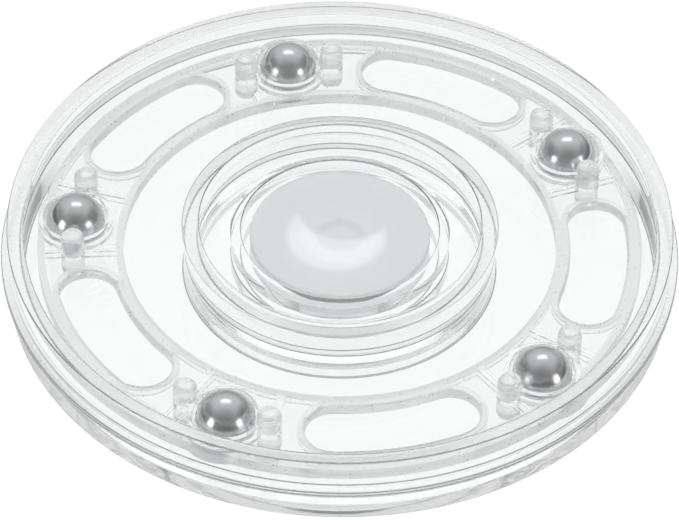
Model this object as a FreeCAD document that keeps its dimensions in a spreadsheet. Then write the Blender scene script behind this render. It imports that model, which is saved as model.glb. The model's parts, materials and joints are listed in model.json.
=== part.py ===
import FreeCAD, Part
import os
import Sketcher

# Clear lazy susan turntable: two identical lipped shells lie face to face and
# turn on five steel balls. A moulded cage keeps the balls apart, and a two-part
# rivet through the hubs holds the shells together.
# Frame: +Z is the spin axis, z = 0 is the face that the turntable stands on.

# Driving dimensions, in millimetres and degrees.
DIMENSIONS = [
    ("overall_height", 11.2),        # face to face
    ("rim_gap", 0.1),                # air between the two shells' open edges
    ("face_radius", 49.0),           # flat outer face of a shell
    ("lip_radius", 50.0),            # thin lip around the open edge of a shell
    ("lip_thickness", 0.5),
    ("rim_inner_radius", 46.7),      # inner wall of the rim where it meets the web
    ("rim_inner_draft", 0.4),        # how much wider that wall is at the open edge
    ("web_thickness", 1.2),          # flat web that the balls roll on
    ("hub_outer_radius", 23.2),      # hub ring, a wall as high as the rim
    ("hub_inner_radius", 20.8),
    ("hub_draft", 0.25),             # how much thinner each side of the hub ring gets
    ("hub_recess_depth", 1.5),       # step down inside the hub ring
    ("well_radius", 14.6),           # well that takes a rivet head
    ("well_depth", 3.6),
    ("well_wall", 1.6),
    ("edge_round", 0.2),
    ("rivet_hole_radius", 6.0),
    ("rivet_shank_radius", 5.95),
    ("rivet_head_radius", 13.3),
    ("rivet_head_thickness", 1.0),
    ("rivet_play", 0.1),             # axial play between the upper head and its shell
    ("rivet_plug_radius", 3.5),
    ("rivet_plug_length", 3.0),
    ("rivet_plug_relief", 0.2),      # air under the plug's end
    ("rivet_round", 0.25),
    ("ball_count", 5),
    ("ball_diameter", 8.731),        # 11/32 inch
    ("ball_circle_radius", 39.4),
    ("cage_phase", 30.3),            # first ball, anticlockwise from +X
    ("cage_inner_radius", 32.0),
    ("cage_outer_radius", 44.6),
    ("cage_web", 1.3),
    ("cage_height", 1.9),            # beads, ribs and slot borders
    ("cage_bead_width", 1.0),
    ("slot_radius", 38.3),           # middle line of the kidney slots
    ("slot_half_width", 4.2),
    ("slot_half_angle", 12.8),
    ("slot_border", 1.1),
    ("slot_round", 0.6),
    ("pocket_clearance", 0.3),
    ("collar_width", 0.9),
    ("collar_height", 2.9),
    ("collar_round", 0.4),
    ("rib_width", 1.3),
    ("post_radius", 1.75),
    ("post_angle", 9.7),             # from a ball to the posts beside it
    ("post_height", 8.3),
    ("post_round", 1.1),
]

SHEET = "Dimensions"
TOLERANCE = 1e-4

doc = FreeCAD.newDocument("lazy_susan_turntable")
sheet = doc.addObject("Spreadsheet::Sheet", SHEET)
for row, (alias, value) in enumerate(DIMENSIONS, 1):
    sheet.set("A%d" % row, alias)
    sheet.set("B%d" % row, str(value))
    sheet.setAlias("B%d" % row, alias)
doc.recompute()


def size(alias):
    """Value of a driving dimension."""
    return float(sheet.get(alias))


def cell(alias):
    """Reference to a driving dimension, for use in an expression."""
    return "%s.%s" % (SHEET, alias)


# Heights and radii that several pieces share.
HALF_HEIGHT = cell("overall_height") + " / 2"
SHELL_HEIGHT = "(%s - %s) / 2" % (cell("overall_height"), cell("rim_gap"))
UPPER_WELL_FLOOR = "%s - %s" % (cell("overall_height"), cell("well_depth"))
UPPER_HEAD_SEAT = "%s + %s" % (UPPER_WELL_FLOOR, cell("rivet_play"))


# ---------------------------------------------------------------- sketches

def new_body(name):
    body = doc.addObject("PartDesign::Body", name)
    body.Label = name
    return body


def new_sketch(body, name, role, turn=None):
    """Sketch on one of the body's own planes; turn swings it about the Z axis."""
    sketch = body.newObject("Sketcher::SketchObject", name)
    plane = next(item for item in body.Origin.OriginFeatures if item.Role == role)
    sketch.AttachmentSupport = [(plane, "")]
    sketch.MapMode = "FlatFace"
    if turn:
        axis = FreeCAD.Vector(0, 0, 1) if role == "XY_Plane" else FreeCAD.Vector(0, 1, 0)
        sketch.AttachmentOffset = FreeCAD.Placement(FreeCAD.Vector(), FreeCAD.Rotation(axis, 1))
        sketch.setExpression("AttachmentOffset.Rotation.Angle", turn)
    return sketch


def bind(sketch, constraint, expression):
    """Add a dimensional constraint and drive it from the sheet."""
    index = sketch.addConstraint(constraint)
    sketch.setExpression("Constraints[%d]" % index, expression)


def draw_polygon(sketch, corners):
    """Closed outline of straight sides through corners given as expressions."""
    count = len(corners)
    start = FreeCAD.Vector(10, 0, 0)
    turn = FreeCAD.Rotation(FreeCAD.Vector(0, 0, 1), 360.0 / count)
    guesses = [start]
    for _ in range(count - 1):
        guesses.append(turn.multVec(guesses[-1]))
    for index in range(count):
        sketch.addGeometry(Part.LineSegment(guesses[index], guesses[(index + 1) % count]), False)
    for index in range(count):
        sketch.addConstraint(Sketcher.Constraint("Coincident", index, 2, (index + 1) % count, 1))
    for index, (across, up) in enumerate(corners):
        guess = guesses[index]
        bind(sketch, Sketcher.Constraint("DistanceX", -1, 1, index, 1, guess.x), across)
        bind(sketch, Sketcher.Constraint("DistanceY", -1, 1, index, 1, guess.y), up)


def draw_circle(sketch, radius, centre=None):
    """Circle about the origin, or about a centre given as two expressions."""
    index = sketch.addGeometry(Part.Circle(FreeCAD.Vector(), FreeCAD.Vector(0, 0, 1), 5), False)
    if centre is None:
        sketch.addConstraint(Sketcher.Constraint("Coincident", index, 3, -1, 1))
    else:
        bind(sketch, Sketcher.Constraint("DistanceX", -1, 1, index, 3, 1.0), centre[0])
        bind(sketch, Sketcher.Constraint("DistanceY", -1, 1, index, 3, 1.0), centre[1])
    bind(sketch, Sketcher.Constraint("Radius", index, 5.0), radius)


def polar(radius, angle):
    """Two expressions for the point at a radius and an angle from the X axis."""
    return "%s * cos(%s)" % (radius, angle), "%s * sin(%s)" % (radius, angle)


# ---------------------------------------------------------------- features

def slab(body, kind, name, sketch, thickness):
    """Pad or Pocket to both sides of the sketch."""
    feature = body.newObject("PartDesign::" + kind, name)
    feature.Profile = sketch
    feature.SideType = "Symmetric"
    feature.setExpression("Length", thickness)
    sketch.Visibility = False
    doc.recompute()
    return feature


def turn_about_z(body, kind, name, sketch, angle=None):
    """Revolution or Groove about Z: a full turn, or an angle shared by both sides."""
    feature = body.newObject("PartDesign::" + kind, name)
    feature.Profile = sketch
    feature.ReferenceAxis = (sketch, ["V_Axis"])
    feature.Angle = 360
    if angle:
        feature.Midplane = True
        feature.setExpression("Angle", angle)
    sketch.Visibility = False
    doc.recompute()
    return feature


def round_edges(body, name, base, wanted, radius):
    """Fillet the circular edges of base for which wanted(curve) is true."""
    names = []
    for index, edge in enumerate(base.Shape.Edges, 1):
        if edge.Curve.TypeId == "Part::GeomCircle" and wanted(edge.Curve):
            names.append("Edge%d" % index)
    feature = body.newObject("PartDesign::Fillet", name)
    feature.Base = (base, names)
    feature.setExpression("Radius", radius)
    doc.recompute()
    return feature


def near(value, target):
    return abs(value - target) < TOLERANCE


def ring_test(rings):
    """Test for the edges that are rings about Z, given as (radius, height)."""
    def wanted(curve):
        return any(near(curve.Radius, radius) and near(curve.Center.z, height)
                   for radius, height in rings)
    return wanted


# ------------------------------------------------------------------ shells

def make_shell(name):
    """One moulded shell, outer face down at z = 0 and open edge up."""
    body = new_body(name)
    recess = cell("hub_recess_depth")
    well = cell("well_depth")
    web = cell("web_thickness")
    boss_radius = "%s + %s" % (cell("well_radius"), cell("well_wall"))
    lip_face = "%s - %s" % (SHELL_HEIGHT, cell("lip_thickness"))
    section = new_sketch(body, name + "_section", "XZ_Plane")
    draw_polygon(section, [
        (cell("rivet_hole_radius"), well),
        (cell("well_radius"), well),
        (cell("well_radius"), recess),
        (cell("hub_inner_radius"), recess),
        (cell("hub_inner_radius"), "0"),
        (cell("face_radius"), "0"),
        (cell("face_radius"), lip_face),
        (cell("lip_radius"), lip_face),
        (cell("lip_radius"), SHELL_HEIGHT),
        ("%s + %s" % (cell("rim_inner_radius"), cell("rim_inner_draft")), SHELL_HEIGHT),
        (cell("rim_inner_radius"), web),
        (cell("hub_outer_radius"), web),
        ("%s - %s" % (cell("hub_outer_radius"), cell("hub_draft")), SHELL_HEIGHT),
        ("%s + %s" % (cell("hub_inner_radius"), cell("hub_draft")), SHELL_HEIGHT),
        (cell("hub_inner_radius"), "%s + %s" % (recess, web)),
        (boss_radius, "%s + %s" % (recess, web)),
        (boss_radius, "%s + %s" % (well, web)),
        (cell("rivet_hole_radius"), "%s + %s" % (well, web)),
    ])
    shell = turn_about_z(body, "Revolution", name + "_turned", section)
    open_edge = (size("overall_height") - size("rim_gap")) / 2
    rings = [
        (size("well_radius"), size("hub_recess_depth")),
        (size("hub_inner_radius"), 0.0),
        (size("face_radius"), 0.0),
        (size("lip_radius"), open_edge - size("lip_thickness")),
        (size("lip_radius"), open_edge),
        (size("rim_inner_radius") + size("rim_inner_draft"), open_edge),
        (size("rim_inner_radius"), size("web_thickness")),
        (size("hub_outer_radius"), size("web_thickness")),
        (size("hub_outer_radius") - size("hub_draft"), open_edge),
        (size("hub_inner_radius") + size("hub_draft"), open_edge),
        (size("well_radius") + size("well_wall"), size("well_depth") + size("web_thickness")),
    ]
    round_edges(body, name + "_rounds", shell, ring_test(rings), cell("edge_round"))
    return body


bottom_plate = make_shell("bottom_plate")

top_plate = make_shell("top_plate")
top_plate.Placement = FreeCAD.Placement(
    FreeCAD.Vector(0, 0, 1), FreeCAD.Rotation(FreeCAD.Vector(1, 0, 0), 180))
top_plate.setExpression("Placement.Base.z", cell("overall_height"))


# ------------------------------------------------------------------- rivet

def make_rivet_half(name, corners, rings):
    """Turned half of the rivet, with the rims of its head rounded."""
    body = new_body(name)
    section = new_sketch(body, name + "_section", "XZ_Plane")
    draw_polygon(section, corners)
    turned = turn_about_z(body, "Revolution", name + "_turned", section)
    round_edges(body, name + "_rounds", turned, ring_test(rings), cell("rivet_round"))
    return body


lower_head_face = "%s - %s" % (cell("well_depth"), cell("rivet_head_thickness"))
plug_end = "%s - %s" % (UPPER_HEAD_SEAT, cell("rivet_plug_length"))
pivot_post = make_rivet_half("pivot_post", [
    ("0", lower_head_face),
    (cell("rivet_head_radius"), lower_head_face),
    (cell("rivet_head_radius"), cell("well_depth")),
    (cell("rivet_shank_radius"), cell("well_depth")),
    (cell("rivet_shank_radius"), UPPER_HEAD_SEAT),
    (cell("rivet_plug_radius"), UPPER_HEAD_SEAT),
    (cell("rivet_plug_radius"), plug_end),
    ("0", plug_end),
], [(size("rivet_head_radius"), size("well_depth") - size("rivet_head_thickness"))])

upper_head_face = "%s + %s" % (UPPER_HEAD_SEAT, cell("rivet_head_thickness"))
upper_head_height = (size("overall_height") - size("well_depth")
                     + size("rivet_play") + size("rivet_head_thickness"))
plug_tip = "%s + %s" % (plug_end, cell("rivet_plug_relief"))
pivot_cap = make_rivet_half("pivot_cap", [
    ("0", plug_tip),
    (cell("rivet_plug_radius"), plug_tip),
    (cell("rivet_plug_radius"), UPPER_HEAD_SEAT),
    (cell("rivet_head_radius"), UPPER_HEAD_SEAT),
    (cell("rivet_head_radius"), upper_head_face),
    ("0", upper_head_face),
], [(size("rivet_head_radius"), upper_head_height)])


# -------------------------------------------------------------------- cage

def add_ring(body, name, radii, thickness):
    """Flat rings between pairs of radii, centred on the cage's middle plane."""
    sketch = new_sketch(body, name + "_sketch", "XY_Plane")
    for radius in radii:
        draw_circle(sketch, radius)
    return slab(body, "Pad", name, sketch, thickness)


def add_kidney(body, kind, name, half_width, thickness):
    """Kidney between two balls: an arc of a ring with a round end at each side."""
    between_balls = "180 / " + cell("ball_count")
    half_thickness = thickness + " / 2"
    low = "%s - (%s)" % (cell("slot_radius"), half_width)
    high = "%s + (%s)" % (cell("slot_radius"), half_width)
    section = new_sketch(body, name + "_section", "XZ_Plane", between_balls)
    draw_polygon(section, [
        (low, "-" + half_thickness),
        (high, "-" + half_thickness),
        (high, half_thickness),
        (low, half_thickness),
    ])
    turned = "Revolution" if kind == "Pad" else "Groove"
    arc = turn_about_z(body, turned, name + "_arc", section, "2 * " + cell("slot_half_angle"))
    ends = new_sketch(body, name + "_ends_sketch", "XY_Plane", between_balls)
    for sign in ("", "-"):
        draw_circle(ends, half_width, polar(cell("slot_radius"), sign + cell("slot_half_angle")))
    return [arc, slab(body, kind, name + "_ends", ends, thickness)]


def add_rib(body, name, sign):
    """Radial rib under one post, from the inner bead to the outer bead."""
    sketch = new_sketch(body, name + "_sketch", "XY_Plane", sign + cell("post_angle"))
    low = "%s + %s / 2" % (cell("cage_inner_radius"), cell("cage_bead_width"))
    high = "%s - %s / 2" % (cell("cage_outer_radius"), cell("cage_bead_width"))
    half_width = cell("rib_width") + " / 2"
    draw_polygon(sketch, [
        (low, "-" + half_width),
        (high, "-" + half_width),
        (high, half_width),
        (low, half_width),
    ])
    return slab(body, "Pad", name, sketch, cell("cage_height"))


def add_ball_disc(body, kind, name, radius, thickness):
    """Round collar or bore about the first ball's centre."""
    sketch = new_sketch(body, name + "_sketch", "XY_Plane")
    draw_circle(sketch, radius, (cell("ball_circle_radius"), "0"))
    return slab(body, kind, name, sketch, thickness)


def add_posts(body, name):
    """The two posts beside a ball, which keep the cage off both webs."""
    sketch = new_sketch(body, name + "_sketch", "XY_Plane")
    for sign in ("", "-"):
        centre = polar(cell("ball_circle_radius"), sign + cell("post_angle"))
        draw_circle(sketch, cell("post_radius"), centre)
    return slab(body, "Pad", name, sketch, cell("post_height"))


def make_cage(name):
    """Ball cage, modelled about its own middle plane with the first ball on +X."""
    body = new_body(name)
    inner = cell("cage_inner_radius")
    outer = cell("cage_outer_radius")
    bead = cell("cage_bead_width")
    add_ring(body, "cage_web", [inner, outer], cell("cage_web"))
    add_ring(body, "cage_beads", [inner, "%s + %s" % (inner, bead),
                                  "%s - %s" % (outer, bead), outer], cell("cage_height"))
    pocket = "%s / 2 + %s" % (cell("ball_diameter"), cell("pocket_clearance"))
    collar = "%s + %s" % (pocket, cell("collar_width"))
    border = "%s + %s" % (cell("slot_half_width"), cell("slot_border"))
    cell_features = add_kidney(body, "Pad", "slot_border", border, cell("cage_height"))
    cell_features.append(add_rib(body, "rib_left", ""))
    cell_features.append(add_rib(body, "rib_right", "-"))
    cell_features.append(add_ball_disc(body, "Pad", "collar", collar, cell("collar_height")))
    cell_features.append(add_posts(body, "posts"))
    solid_volume = cell_features[-1].Shape.Volume
    cell_features += add_kidney(body, "Pocket", "slot", cell("slot_half_width"), cell("cage_height"))
    cell_features.append(add_ball_disc(body, "Pocket", "ball_pocket", pocket, cell("collar_height")))
    if cell_features[-1].Shape.Volume > solid_volume - 1:
        raise ValueError("the cage's slots and pockets cut nothing")

    pattern = body.newObject("PartDesign::PolarPattern", "cage_cells")
    pattern.Originals = cell_features
    spin_axis = next(item for item in body.Origin.OriginFeatures if item.Role == "Z_Axis")
    pattern.Axis = (spin_axis, [""])
    pattern.Angle = 360
    pattern.setExpression("Occurrences", cell("ball_count"))
    body.Tip = pattern
    doc.recompute()

    slot_face = size("cage_height") / 2
    slot_radii = [size("slot_radius") - size("slot_half_width"),
                  size("slot_radius") + size("slot_half_width"),
                  size("slot_half_width")]
    collar_face = size("collar_height") / 2
    post_face = size("post_height") / 2

    def is_slot_edge(curve):
        return near(abs(curve.Center.z), slot_face) and any(
            near(curve.Radius, radius) for radius in slot_radii)

    def is_collar_edge(curve):
        return (near(abs(curve.Center.z), collar_face)
                and near(curve.Radius, size("ball_diameter") / 2 + size("pocket_clearance")))

    def is_post_edge(curve):
        return near(abs(curve.Center.z), post_face) and near(curve.Radius, size("post_radius"))

    rounded = round_edges(body, "slot_rounds", pattern, is_slot_edge, cell("slot_round"))
    rounded = round_edges(body, "collar_rounds", rounded, is_collar_edge, cell("collar_round"))
    round_edges(body, "post_domes", rounded, is_post_edge, cell("post_round"))
    body.Placement = FreeCAD.Placement(
        FreeCAD.Vector(0, 0, 1), FreeCAD.Rotation(FreeCAD.Vector(0, 0, 1), 1))
    body.setExpression("Placement.Base.z", HALF_HEIGHT)
    body.setExpression("Placement.Rotation.Angle", cell("cage_phase"))
    return body


ball_cage = make_cage("ball_cage")


# ------------------------------------------------------------------- balls

def make_ball(number):
    name = "ball_%d" % number
    ball = doc.addObject("Part::Sphere", name)
    ball.Label = name
    ball.setExpression("Radius", cell("ball_diameter") + " / 2")
    angle = "%s + %d * 360 / %s" % (cell("cage_phase"), number - 1, cell("ball_count"))
    across, along = polar(cell("ball_circle_radius"), angle)
    ball.setExpression("Placement.Base.x", across)
    ball.setExpression("Placement.Base.y", along)
    ball.setExpression("Placement.Base.z", HALF_HEIGHT)
    return ball


balls = [make_ball(number) for number in range(1, int(size("ball_count")) + 1)]


# ------------------------------------------------------------------ export

doc.recompute()
pieces = [bottom_plate, top_plate, pivot_post, pivot_cap, ball_cage] + balls

for item in doc.Objects:
    if "Invalid" in item.State or "Error" in item.State:
        raise ValueError("%s did not recompute: %s" % (item.Name, item.State))
for piece in pieces:
    if piece.Shape.isNull() or not piece.Shape.isValid():
        raise ValueError("%s has no valid shape" % piece.Label)
    if len(piece.Shape.Solids) != 1:
        raise ValueError("%s is %d solids" % (piece.Label, len(piece.Shape.Solids)))

os.makedirs("parts", exist_ok=True)
for piece in pieces:
    piece.Shape.exportStep(os.path.join("parts", piece.Label + ".step"))
    box = piece.Shape.BoundBox
    print("%-14s %10.2f mm3   z %.3f to %.3f" % (piece.Label, piece.Shape.Volume, box.ZMin, box.ZMax))
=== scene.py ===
import json
import math

import bpy
import numpy as np
from mathutils import Matrix, Vector

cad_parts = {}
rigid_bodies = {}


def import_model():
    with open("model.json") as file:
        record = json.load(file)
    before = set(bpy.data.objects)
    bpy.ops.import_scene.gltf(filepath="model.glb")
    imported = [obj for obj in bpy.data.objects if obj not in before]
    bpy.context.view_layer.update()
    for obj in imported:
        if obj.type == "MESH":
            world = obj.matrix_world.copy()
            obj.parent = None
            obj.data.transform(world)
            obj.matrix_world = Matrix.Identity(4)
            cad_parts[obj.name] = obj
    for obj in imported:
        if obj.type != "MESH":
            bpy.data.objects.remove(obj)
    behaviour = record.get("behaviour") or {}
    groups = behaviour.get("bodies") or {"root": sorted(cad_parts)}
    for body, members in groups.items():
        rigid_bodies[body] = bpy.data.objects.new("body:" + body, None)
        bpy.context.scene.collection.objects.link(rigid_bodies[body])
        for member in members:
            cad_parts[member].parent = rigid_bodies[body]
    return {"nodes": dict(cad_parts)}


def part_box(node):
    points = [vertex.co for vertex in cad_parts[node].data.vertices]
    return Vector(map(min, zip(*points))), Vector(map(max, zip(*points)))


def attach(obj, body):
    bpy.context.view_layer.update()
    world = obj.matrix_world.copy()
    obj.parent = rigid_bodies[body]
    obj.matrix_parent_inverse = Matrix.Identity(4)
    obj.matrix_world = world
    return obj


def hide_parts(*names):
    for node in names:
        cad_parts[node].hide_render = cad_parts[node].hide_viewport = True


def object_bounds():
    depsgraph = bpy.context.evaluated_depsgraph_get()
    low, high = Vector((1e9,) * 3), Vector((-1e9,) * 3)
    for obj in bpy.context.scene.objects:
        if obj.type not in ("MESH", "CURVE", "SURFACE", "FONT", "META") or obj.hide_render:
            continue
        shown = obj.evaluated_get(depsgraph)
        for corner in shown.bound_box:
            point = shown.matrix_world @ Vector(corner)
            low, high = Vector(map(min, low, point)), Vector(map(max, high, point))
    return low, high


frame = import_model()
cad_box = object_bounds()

MM = 0.001

# Overall places in metres and the names of the balls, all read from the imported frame.
LOW, HIGH = Vector(cad_box[0]), Vector(cad_box[1])
TOP_Z = HIGH.z
MID_Z = (LOW.z + HIGH.z) / 2
BALLS = [name for name in sorted(frame["nodes"]) if name.startswith("ball_") and name != "ball_cage"]

# Section of one moulded shell in millimetres, outer face at z = 0 and open edge up.
FACE_RADIUS = 49.0
LIP_RADIUS = 50.0
LIP_THICKNESS = 0.5
SHELL_HEIGHT = 5.55
WEB = 1.2
RIM_INNER_RADIUS = 46.7
RIM_DRAFT = 0.4
HUB_OUTER_RADIUS = 23.2
HUB_INNER_RADIUS = 20.8
HUB_DRAFT = 0.25
RECESS_DEPTH = 1.5
WELL_RADIUS = 14.6
WELL_DEPTH = 3.6
WELL_WALL = 1.6
RIVET_HOLE_RADIUS = 6.0
EDGE_ROUND = 0.2

# How finely the shells are turned.
SEGMENTS = 360
FILLET_STEPS = 5

# Where the cage's posts, pockets and beads are, which differ in finish and in painted shade.
POST_CIRCLE_RADIUS = 39.4 * MM
POST_ANGLE = math.radians(9.7)       # from a ball to the posts beside it
POST_REACH = 1.95 * MM               # from a post's axis to past its wall
POST_CLEAR_OF_WEB = 0.98 * MM        # from the middle plane to just past the beads and ribs
POCKET_REACH = 10.2 * MM             # from a ball's centre to past its collar and ribs
BEAD_RADII = (33.2 * MM, 43.4 * MM)  # the band between the beads, 0.2 mm clear of each
BEAD_FACE = 0.95 * MM                # from the middle plane to a bead's face

# Faces are told apart by how upright their normals are, as |z|, and by their height.
WALL_SLOPE = 0.15
FLAT_SLOPE = 0.98
CAGE_WALL_SLOPE = 0.93
EDGE_TOLERANCE = 0.01 * MM
BEAD_TOLERANCE = 0.02 * MM

# Camera, at the viewing angle of the reference.
CAMERA_ELEVATION = math.radians(43.81)
CAMERA_DISTANCE = 0.686
CAMERA_ROLL = math.radians(0.98)
CAMERA_LENS = 247.3
CAMERA_SENSOR = 36.0
AIM_DROP = 0.00817

# Studio brightness by direction. Each ramp runs over one axis: from, to, brightness at each end.
HEIGHT_RAMP = (0.0, 0.6, 0.22, 0.75)
DEPTH_RAMP = (-0.7, 0.3, 0.2, 1.0)
SIDE_RAMP = (0.55, 0.92, 1.0, 0.08)

# Lights: name, azimuth and elevation in degrees, distance, width and height in metres, watts.
SOFT_BOXES = (
    ("softbox_left", (-57, 16), 1.2, 0.44, 0.5, 1.9),
    ("softbox_right", (57, 16), 1.2, 0.44, 0.5, 1.9),
    ("softbox_over", (180, 61), 1.5, 0.8, 0.45, 1.5),
)
FILL_LIGHT = ("fill_over", (0, 89), 2.2, 2.0, 2.0, 35)

# Floor, in metres.
FLOOR_HALF = 3.0
FLOOR_DROP = 0.0001
FLOOR_WHITE = (0.92, 0.92, 0.92, 1)
FLOOR_ROUGHNESS = 0.9

# Materials. A pair of colours is the range that a fine grain runs over.
PLASTIC_IOR = 1.49
SHELL_TINT = (0.985, 0.99, 0.99, 1)
# Painted shade: the shells' walls are darkened a little and their rounded corners deeply, in place of
# the darker studio that these faces reflect and refract.
SHELL_WALL_PAINTED_SHADE = (0.95, 0.96, 0.96, 1)
SHELL_CORNER_PAINTED_SHADE = (0.2, 0.21, 0.21, 1)
# Painted shade: the grey of the shells' open edges, on a satin skin, stands in for the darker studio
# that these faces reflect and refract.
SHELL_EDGE_PAINTED_SHADES = ((0.84, 0.85, 0.85, 1), (0.9, 0.91, 0.91, 1))
CAGE_TINT = (0.97, 0.98, 0.98, 1)
# Painted shade: the grey of the cage's walls and bead faces, on a satin skin, stands in for the darker
# studio that they reflect and refract.
CAGE_WALL_PAINTED_SHADES = ((0.78, 0.79, 0.79, 1), (0.84, 0.85, 0.85, 1))
POST_GREYS = ((0.86, 0.87, 0.87, 1), (0.92, 0.93, 0.93, 1))
RIVET_GREYS = ((0.69, 0.7, 0.71, 1), (0.73, 0.74, 0.75, 1))
# Painted highlight: the pale grey of the crescent on the rivet's head.
PAINTED_HIGHLIGHT_GREY = (0.84, 0.85, 0.86, 1)
STEEL_GREY = (0.64, 0.64, 0.65, 1)
ROUGHNESS_SPREAD = 0.08
RIVET_CLEARNESS = 0.5
RIVET_ROUGHNESS = (0.38, 0.52)
STEEL_ROUGHNESS = (0.17, 0.25)

# Noise of each finish, as scale and detail, and how far the bumps stand in metres.
HAZE_NOISE = (900, 4)
SATIN_NOISE = (1800, 3)
SATIN_BUMP_NOISE = (3000, 2)
RIVET_BUMP_NOISE = (7000, 2)
STEEL_NOISE = (1500, 2)
STEEL_BUMP_NOISE = (4000, 3)
FINE_BUMP = 0.000001
RIVET_BUMP = 0.000008

# Painted highlight on the rivet's head, a pale crescent: a disc less the part that a second one covers.
# Each has a centre and the radii over which its edge fades, in metres.
CRESCENT_CENTRE = (-0.0005, -0.0006)
CRESCENT_FADE = (0.0068, 0.0079)
COVER_CENTRE = (0.0008, 0.0056)
COVER_FADE = (0.0068, 0.0076)

# Light paths through several layers of clear plastic need many bounces.
LIGHT_BOUNCES = 48


# ------------------------------------------------------------------ helpers

class Shader:
    """A new node material, with short calls for the nodes that it uses."""

    def __init__(self, name):
        self.material = bpy.data.materials.new(name)
        self.material.use_nodes = True
        self.tree = self.material.node_tree
        self.bsdf = self.tree.nodes["Principled BSDF"]
        self.place = self.tree.nodes.new("ShaderNodeTexCoord").outputs["Object"]

    def set(self, **values):
        for key, value in values.items():
            self.bsdf.inputs[key.replace("_", " ")].default_value = value

    def link(self, source, target):
        self.tree.links.new(source, target)

    def node(self, kind, **values):
        node = self.tree.nodes.new("ShaderNode" + kind)
        for key, value in values.items():
            setattr(node, key, value)
        return node

    def noise(self, scale, detail):
        node = self.node("TexNoise")
        node.inputs["Scale"].default_value = scale
        node.inputs["Detail"].default_value = detail
        self.link(self.place, node.inputs["Vector"])
        return node.outputs["Fac"]

    def ramp(self, source, low, high, from_low=0.0, from_high=1.0):
        """Map source from one range to another, clamped."""
        node = self.node("MapRange", clamp=True)
        self.link(source, node.inputs["Value"])
        node.inputs["From Min"].default_value = from_low
        node.inputs["From Max"].default_value = from_high
        node.inputs["To Min"].default_value = low
        node.inputs["To Max"].default_value = high
        return node.outputs["Result"]

    def distance_to(self, x, y):
        """Distance from an upright line through (x, y)."""
        split = self.node("SeparateXYZ")
        join = self.node("CombineXYZ")
        gap = self.node("VectorMath", operation="DISTANCE")
        self.link(self.place, split.inputs[0])
        self.link(split.outputs[0], join.inputs[0])
        self.link(split.outputs[1], join.inputs[1])
        self.link(join.outputs[0], gap.inputs[0])
        gap.inputs[1].default_value = (x, y, 0)
        return gap.outputs["Value"]

    def blend(self, factor, first, second):
        """Colour that runs from the first to the second as factor runs from 0 to 1."""
        node = self.node("Mix", data_type="RGBA")
        self.link(factor, node.inputs[0])
        node.inputs[6].default_value = first
        node.inputs[7].default_value = second
        return node.outputs[2]

    def bump(self, source, distance):
        node = self.node("Bump")
        node.inputs["Distance"].default_value = distance
        self.link(source, node.inputs["Height"])
        self.link(node.outputs["Normal"], self.bsdf.inputs["Normal"])


def wear(piece, materials):
    """Give a piece its finished materials."""
    piece.data.materials.clear()
    for material in materials:
        piece.data.materials.append(material)


# ---------------------------------------------------------------- materials

def clear_plastic(name, tint_and_painted_shade, haze):
    shader = Shader(name)
    shader.set(Transmission_Weight=1.0, IOR=PLASTIC_IOR)
    # This colour is the plastic's own tint on clear faces and painted shade on the shells' walls and
    # rounded corners.
    shader.bsdf.inputs["Base Color"].default_value = tint_and_painted_shade
    shader.link(shader.ramp(shader.noise(*HAZE_NOISE), 0.0, haze), shader.bsdf.inputs["Roughness"])
    return shader.material


def satin_plastic(name, greys, clearness, roughness):
    """Plastic with a satin skin: part of the light goes through and the rest is scattered."""
    shader = Shader(name)
    shader.set(Transmission_Weight=clearness, IOR=PLASTIC_IOR)
    grain = shader.noise(*SATIN_NOISE)
    shader.link(shader.blend(grain, *greys), shader.bsdf.inputs["Base Color"])
    rough = shader.ramp(grain, roughness - ROUGHNESS_SPREAD, roughness + ROUGHNESS_SPREAD)
    shader.link(rough, shader.bsdf.inputs["Roughness"])
    shader.bump(shader.noise(*SATIN_BUMP_NOISE), FINE_BUMP)
    return shader.material


def rivet_plastic(name):
    """Frosted plastic with a painted highlight: a paler crescent low in the middle of the rivet's head.
    """
    shader = Shader(name)
    shader.set(Transmission_Weight=RIVET_CLEARNESS, IOR=PLASTIC_IOR)
    grain = shader.noise(*SATIN_NOISE)
    frosted = shader.blend(grain, *RIVET_GREYS)
    disc = shader.ramp(shader.distance_to(*CRESCENT_CENTRE), 1.0, 0.0, *CRESCENT_FADE)
    cover = shader.ramp(shader.distance_to(*COVER_CENTRE), 0.0, 1.0, *COVER_FADE)
    painted_highlight_mask = shader.node("Math", operation="MULTIPLY")
    shader.link(disc, painted_highlight_mask.inputs[0])
    shader.link(cover, painted_highlight_mask.inputs[1])
    # Painted highlight: the crescent's pale grey laid over the frosted greys.
    mix = shader.node("Mix", data_type="RGBA")
    shader.link(painted_highlight_mask.outputs[0], mix.inputs[0])
    shader.link(frosted, mix.inputs[6])
    mix.inputs[7].default_value = PAINTED_HIGHLIGHT_GREY
    shader.link(mix.outputs[2], shader.bsdf.inputs["Base Color"])
    shader.link(shader.ramp(grain, *RIVET_ROUGHNESS), shader.bsdf.inputs["Roughness"])
    shader.bump(shader.noise(*RIVET_BUMP_NOISE), RIVET_BUMP)
    return shader.material


def polished_steel(name):
    shader = Shader(name)
    shader.set(Metallic=1.0)
    shader.bsdf.inputs["Base Color"].default_value = STEEL_GREY
    rough = shader.ramp(shader.noise(*STEEL_NOISE), *STEEL_ROUGHNESS)
    shader.link(rough, shader.bsdf.inputs["Roughness"])
    shader.bump(shader.noise(*STEEL_BUMP_NOISE), FINE_BUMP)
    return shader.material


# ------------------------------------------------------------ turned shells

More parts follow.
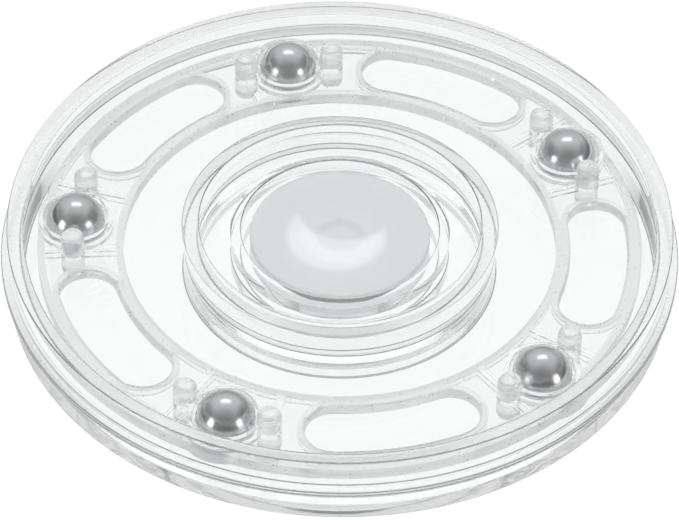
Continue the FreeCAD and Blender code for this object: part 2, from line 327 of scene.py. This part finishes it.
def shell_outline():
    """Corners of the shell's section as (radius, height, fillet), counter-clockwise."""
    floor_back = RECESS_DEPTH + WEB
    well_back = WELL_DEPTH + WEB
    lip_face = SHELL_HEIGHT - LIP_THICKNESS
    corners = [
        (RIVET_HOLE_RADIUS, WELL_DEPTH, 0.0),
        (WELL_RADIUS, WELL_DEPTH, 0.0),
        (WELL_RADIUS, RECESS_DEPTH, EDGE_ROUND),
        (HUB_INNER_RADIUS, RECESS_DEPTH, 0.0),
        (HUB_INNER_RADIUS, 0.0, EDGE_ROUND),
        (FACE_RADIUS, 0.0, EDGE_ROUND),
        (FACE_RADIUS, lip_face, 0.0),
        (LIP_RADIUS, lip_face, EDGE_ROUND),
        (LIP_RADIUS, SHELL_HEIGHT, EDGE_ROUND),
        (RIM_INNER_RADIUS + RIM_DRAFT, SHELL_HEIGHT, EDGE_ROUND),
        (RIM_INNER_RADIUS, WEB, EDGE_ROUND),
        (HUB_OUTER_RADIUS, WEB, EDGE_ROUND),
        (HUB_OUTER_RADIUS - HUB_DRAFT, SHELL_HEIGHT, EDGE_ROUND),
        (HUB_INNER_RADIUS + HUB_DRAFT, SHELL_HEIGHT, EDGE_ROUND),
        (HUB_INNER_RADIUS, floor_back, 0.0),
        (WELL_RADIUS + WELL_WALL, floor_back, 0.0),
        (WELL_RADIUS + WELL_WALL, well_back, EDGE_ROUND),
        (RIVET_HOLE_RADIUS, well_back, 0.0),
    ]
    return [tuple(value * MM for value in corner) for corner in corners]


def filleted(corners, steps):
    """Points of a closed outline with its fillets, each as (point, normal before, normal after)."""
    places = [np.array(corner[:2]) for corner in corners]
    points = []
    for index, place in enumerate(places):
        before = place - places[index - 1]
        after = places[(index + 1) % len(places)] - place
        before /= np.linalg.norm(before)
        after /= np.linalg.norm(after)
        radius = corners[index][2]
        if radius == 0:
            points.append((place, np.array((before[1], -before[0])), np.array((after[1], -after[0]))))
            continue
        turn = math.atan2(before[0] * after[1] - before[1] * after[0], before @ after)
        side = math.copysign(1.0, turn)
        centre = place - before * radius * math.tan(abs(turn) / 2)
        centre = centre + np.array((-before[1], before[0])) * side * radius
        for step in range(steps + 1):
            angle = turn * step / steps
            heading = np.array((math.cos(angle) * before[0] - math.sin(angle) * before[1],
                                math.sin(angle) * before[0] + math.cos(angle) * before[1]))
            normal = np.array((heading[1], -heading[0]))
            points.append((centre + normal * radius * side, normal, normal))
    return points


def turned_piece(name, corners, segments, mirror_height=None):
    """Solid of revolution about Z with the exact normals of its section."""
    points = filleted(corners, FILLET_STEPS)
    angles = np.arange(segments) * 2 * math.pi / segments
    turn_x, turn_y = np.cos(angles), np.sin(angles)
    here = np.arange(segments)
    beyond = (here + 1) % segments
    rings = [np.stack([point[0] * turn_x, point[0] * turn_y, np.full(segments, point[1])], 1)
             for point, _, _ in points]
    faces, normals = [], []
    for index, (_, _, leaving) in enumerate(points):
        following = (index + 1) % len(points)
        arriving = points[following][1]
        near, far = index * segments, following * segments
        faces.append(np.stack([near + here, near + beyond, far + beyond, far + here], 1))
        ways = [(leaving, here), (leaving, beyond), (arriving, beyond), (arriving, here)]
        normals.append(np.stack([np.stack([way[0] * turn_x[at], way[0] * turn_y[at],
                                           np.full(segments, way[1])], 1) for way, at in ways], 1))
    places = np.concatenate(rings)
    faces = np.concatenate(faces)
    normals = np.concatenate(normals)
    if mirror_height is not None:
        places[:, 2] = mirror_height - places[:, 2]
        normals[:, :, 2] *= -1
        faces = faces[:, ::-1]
        normals = normals[:, ::-1]
    mesh = bpy.data.meshes.new(name)
    mesh.from_pydata(places.tolist(), [], faces.tolist())
    mesh.polygons.foreach_set("use_smooth", [True] * len(mesh.polygons))
    mesh.normals_split_custom_set(normals.reshape(-1, 3).tolist())
    mesh.update()
    piece = bpy.data.objects.new(name, mesh)
    bpy.context.scene.collection.objects.link(piece)
    return piece


def mark_shell(piece, height):
    """Set each face of a shell to its material; height is that of the flat open edge."""
    polished, edge, wall, corner = range(4)
    for face in piece.data.polygons:
        upright = abs(face.normal.z)
        if upright > FLAT_SLOPE:
            # Flat faces at the open edge take a grey painted shade.
            at_edge = abs(face.center.z - height) < EDGE_TOLERANCE
            face.material_index = edge if at_edge else polished
        else:
            # Upright walls take a light painted shade, and the sloping faces of the rounded corners a
            # deep one.
            face.material_index = wall if upright < WALL_SLOPE else corner


# --------------------------------------------------------------------- cage

def mark_cage(piece):
    """Set each face of the cage to clear, satin wall with painted shade, or post; the ribs and collars
    stay clear.
    """
    clear, wall, post = range(3)
    ball_places = [(sum(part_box(ball), Vector()) / 2).to_2d() for ball in BALLS]
    post_places = []
    for place in ball_places:
        angle = math.atan2(place.y, place.x)
        for side in (-1, 1):
            turned = angle + side * POST_ANGLE
            post_places.append(Vector((math.cos(turned), math.sin(turned))) * POST_CIRCLE_RADIUS)
    for face in piece.data.polygons:
        centre = face.center
        flat_place = centre.to_2d()
        near_post = min((flat_place - place).length for place in post_places) < POST_REACH
        near_ball = min((flat_place - place).length for place in ball_places) < POCKET_REACH
        in_pocket = near_ball and BEAD_RADII[0] < flat_place.length < BEAD_RADII[1]
        on_bead = abs(abs(centre.z - MID_Z) - BEAD_FACE) < BEAD_TOLERANCE
        if near_post and abs(centre.z - MID_Z) > POST_CLEAR_OF_WEB:
            face.material_index = post
        elif (on_bead or abs(face.normal.z) < CAGE_WALL_SLOPE) and not in_pocket:
            # Satin walls with a grey painted shade.
            face.material_index = wall
        else:
            face.material_index = clear


# -------------------------------------------------------------------- stage

def make_floor():
    mesh = bpy.data.meshes.new("floor")
    half = FLOOR_HALF
    corners = [(-half, -half, 0), (half, -half, 0), (half, half, 0), (-half, half, 0)]
    mesh.from_pydata(corners, [], [(0, 1, 2, 3)])
    floor = bpy.data.objects.new("floor", mesh)
    bpy.context.scene.collection.objects.link(floor)
    shader = Shader("floor_white")
    shader.set(Roughness=FLOOR_ROUGHNESS)
    shader.bsdf.inputs["Base Color"].default_value = FLOOR_WHITE
    mesh.materials.append(shader.material)
    floor.location.z = LOW.z - FLOOR_DROP


def make_area(name, direction, distance, width, height, power):
    """Rectangular softbox that faces the turntable from a direction."""
    data = bpy.data.lights.new(name, "AREA")
    data.shape = "RECTANGLE"
    data.size = width
    data.size_y = height
    data.energy = power
    lamp = bpy.data.objects.new(name, data)
    bpy.context.scene.collection.objects.link(lamp)
    azimuth, elevation = (math.radians(value) for value in direction)
    away = Vector((math.sin(azimuth) * math.cos(elevation),
                   -math.cos(azimuth) * math.cos(elevation), math.sin(elevation)))
    lamp.location = away * distance
    lamp.rotation_euler = away.to_track_quat("Z", "Y").to_euler()
    return lamp


def make_world():
    """White studio: bright overhead and at the far side, darker low down, at the sides and in front."""
    world = bpy.data.worlds.new("studio")
    world.use_nodes = True
    bpy.context.scene.world = world
    tree = world.node_tree
    background = tree.nodes["Background"]
    background.inputs["Color"].default_value = (1, 1, 1, 1)

    def node(kind, **values):
        made = tree.nodes.new("ShaderNode" + kind)
        for key, value in values.items():
            setattr(made, key, value)
        return made

    def ramp(source, from_low, from_high, low, high):
        made = node("MapRange", interpolation_type="SMOOTHSTEP")
        made.inputs["From Min"].default_value = from_low
        made.inputs["From Max"].default_value = from_high
        made.inputs["To Min"].default_value = low
        made.inputs["To Max"].default_value = high
        tree.links.new(source, made.inputs["Value"])
        return made.outputs["Result"]

    def maths(operation, first, second=None):
        made = node("Math", operation=operation)
        tree.links.new(first, made.inputs[0])
        if second is not None:
            tree.links.new(second, made.inputs[1])
        return made.outputs["Value"]

    split = node("SeparateXYZ")
    tree.links.new(node("TexCoord").outputs["Generated"], split.inputs[0])
    height = ramp(split.outputs["Z"], *HEIGHT_RAMP)
    depth = ramp(split.outputs["Y"], *DEPTH_RAMP)
    side = ramp(maths("ABSOLUTE", split.outputs["X"]), *SIDE_RAMP)
    strength = maths("MULTIPLY", maths("MULTIPLY", height, depth), side)
    tree.links.new(strength, background.inputs["Strength"])


def make_lights():
    for box in SOFT_BOXES:
        make_area(*box)
    fill = make_area(*FILL_LIGHT)
    fill.visible_glossy = False
    fill.visible_transmission = False


def make_camera():
    data = bpy.data.cameras.new("camera")
    data.lens = CAMERA_LENS
    data.sensor_width = CAMERA_SENSOR
    camera = bpy.data.objects.new("camera", data)
    bpy.context.scene.collection.objects.link(camera)
    centre = Vector((0, 0, TOP_Z))
    back = Vector((0, -math.cos(CAMERA_ELEVATION), math.sin(CAMERA_ELEVATION)))
    camera.location = centre + back * CAMERA_DISTANCE
    aim = centre - Vector((0, 0, AIM_DROP))
    facing = (camera.location - aim).to_track_quat("Z", "Y").to_matrix().to_4x4()
    camera.rotation_euler = (facing @ Matrix.Rotation(CAMERA_ROLL, 4, "Z")).to_euler()
    bpy.context.scene.camera = camera


def make_look():
    scene = bpy.context.scene
    scene.view_settings.view_transform = "Standard"
    scene.cycles.max_bounces = LIGHT_BOUNCES
    scene.cycles.transmission_bounces = LIGHT_BOUNCES
    scene.cycles.glossy_bounces = LIGHT_BOUNCES
    scene.cycles.caustics_refractive = True
    scene.cycles.caustics_reflective = True


# ----------------------------------------------------------------- assembly

shell_materials = [
    clear_plastic("clear_shell", SHELL_TINT, haze=0.02),
    # Painted shade: grey open edges with a satin skin.
    satin_plastic("shell_open_edges_painted_shade", SHELL_EDGE_PAINTED_SHADES, clearness=0.75, roughness=0.3),
    # Painted shade: darker walls and deeply darkened rounded corners.
    clear_plastic("shell_walls_painted_shade", SHELL_WALL_PAINTED_SHADE, haze=0.03),
    clear_plastic("shell_corners_painted_shade", SHELL_CORNER_PAINTED_SHADE, haze=0.1),
]
cage_materials = [
    clear_plastic("clear_cage", CAGE_TINT, haze=0.05),
    # Painted shade: grey cage walls with a satin skin.
    satin_plastic("cage_walls_painted_shade", CAGE_WALL_PAINTED_SHADES, clearness=0.85, roughness=0.3),
    satin_plastic("cage_posts", POST_GREYS, clearness=0.94, roughness=0.24),
]
rivet_material = rivet_plastic("frosted_rivet_painted_highlight")
ball_material = polished_steel("bearing_steel")

outline = shell_outline()
open_edge = SHELL_HEIGHT * MM
for name, node, body, height in (("shell_low", "bottom_plate", "base", None),
                                 ("shell_high", "top_plate", "top", TOP_Z)):
    shell = turned_piece(name, outline, SEGMENTS, height)
    wear(shell, shell_materials)
    mark_shell(shell, open_edge if height is None else height - open_edge)
    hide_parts(node)
    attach(shell, body)
    wear(frame["nodes"][node], shell_materials[:1])

cage = frame["nodes"]["ball_cage"]
wear(cage, cage_materials)
mark_cage(cage)
for half in ("pivot_post", "pivot_cap"):
    wear(frame["nodes"][half], [rivet_material])
for ball in BALLS:
    wear(frame["nodes"][ball], [ball_material])

# No piece casts a shadow or shows in the floor's scattered light, so the floor stays evenly white.
for piece in bpy.context.scene.objects:
    if piece.type == "MESH":
        piece.visible_shadow = False
        piece.visible_diffuse = False

make_floor()
make_world()
make_lights()
make_camera()
make_look()
